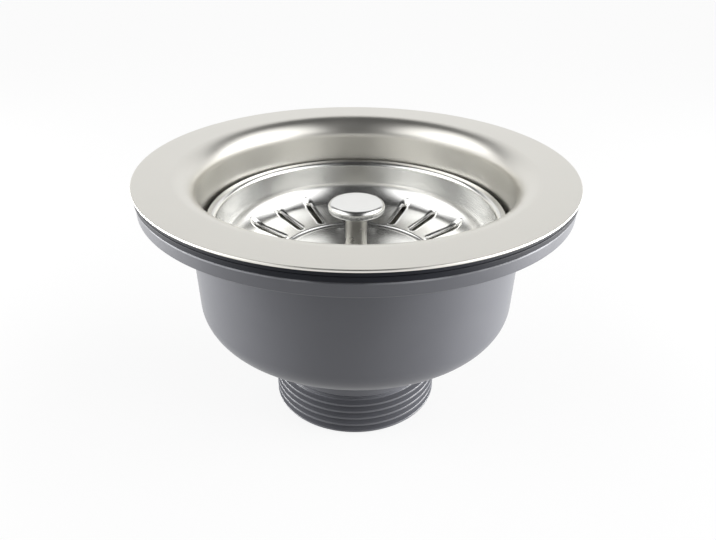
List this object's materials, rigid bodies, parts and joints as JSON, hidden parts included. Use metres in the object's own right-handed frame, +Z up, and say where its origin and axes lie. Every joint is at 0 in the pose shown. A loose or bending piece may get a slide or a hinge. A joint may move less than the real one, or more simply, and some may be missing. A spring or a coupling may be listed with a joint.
{
  "type": "sink basket strainer waste",
  "caption": "Kitchen-sink basket strainer waste: pressed steel rim and bowl, plastic body with threaded outlet, and a lift-out slotted basket with pull knob and rubber stopper.",
  "frame": {"origin": "middle of the outlet's lower end face", "axes": "+Z up the axis from the outlet to the rim; the basket's slots and the drain holes are even about it, and -Y is the side the picture was taken from"},
  "size_m": [0.114, 0.114, 0.071],
  "materials": {
    "rim_steel": "satin stainless steel",
    "basket_steel": "polished stainless steel",
    "fastener_steel": "plain stainless steel",
    "gasket_rubber": "matt black rubber",
    "body_plastic": "moulded grey polypropylene",
    "carrier_plastic": "moulded white plastic",
    "insert_brass": "turned brass"
  },
  "bodies": {
    "waste": {"sink_flange": "rim_steel", "upper_gasket": "gasket_rubber", "lower_gasket": "gasket_rubber", "waste_body": "body_plastic", "threaded_insert": "insert_brass", "hollow_screw": "fastener_steel", "screw_washer": "fastener_steel"},
    "stopper": {"stopper_carrier": "carrier_plastic", "stopper_seal": "gasket_rubber"},
    "basket": {"basket_shell": "basket_steel", "basket_stem": "basket_steel", "pull_knob": "basket_steel", "stem_washer": "fastener_steel", "stem_nut": "fastener_steel", "retaining_washer": "fastener_steel", "retaining_screw": "fastener_steel"}
  },
  "joints": [
    {"name": "basket_lift", "type": "slide", "parent": "waste", "child": "stopper", "axis": [0, 0, 1], "range_m": [0, 0.06]},
    {"name": "basket_turn", "type": "hinge", "parent": "stopper", "child": "basket", "pos_m": [0, 0, 0.04], "axis": [0, 0, 1], "continuous": true}
  ]
}
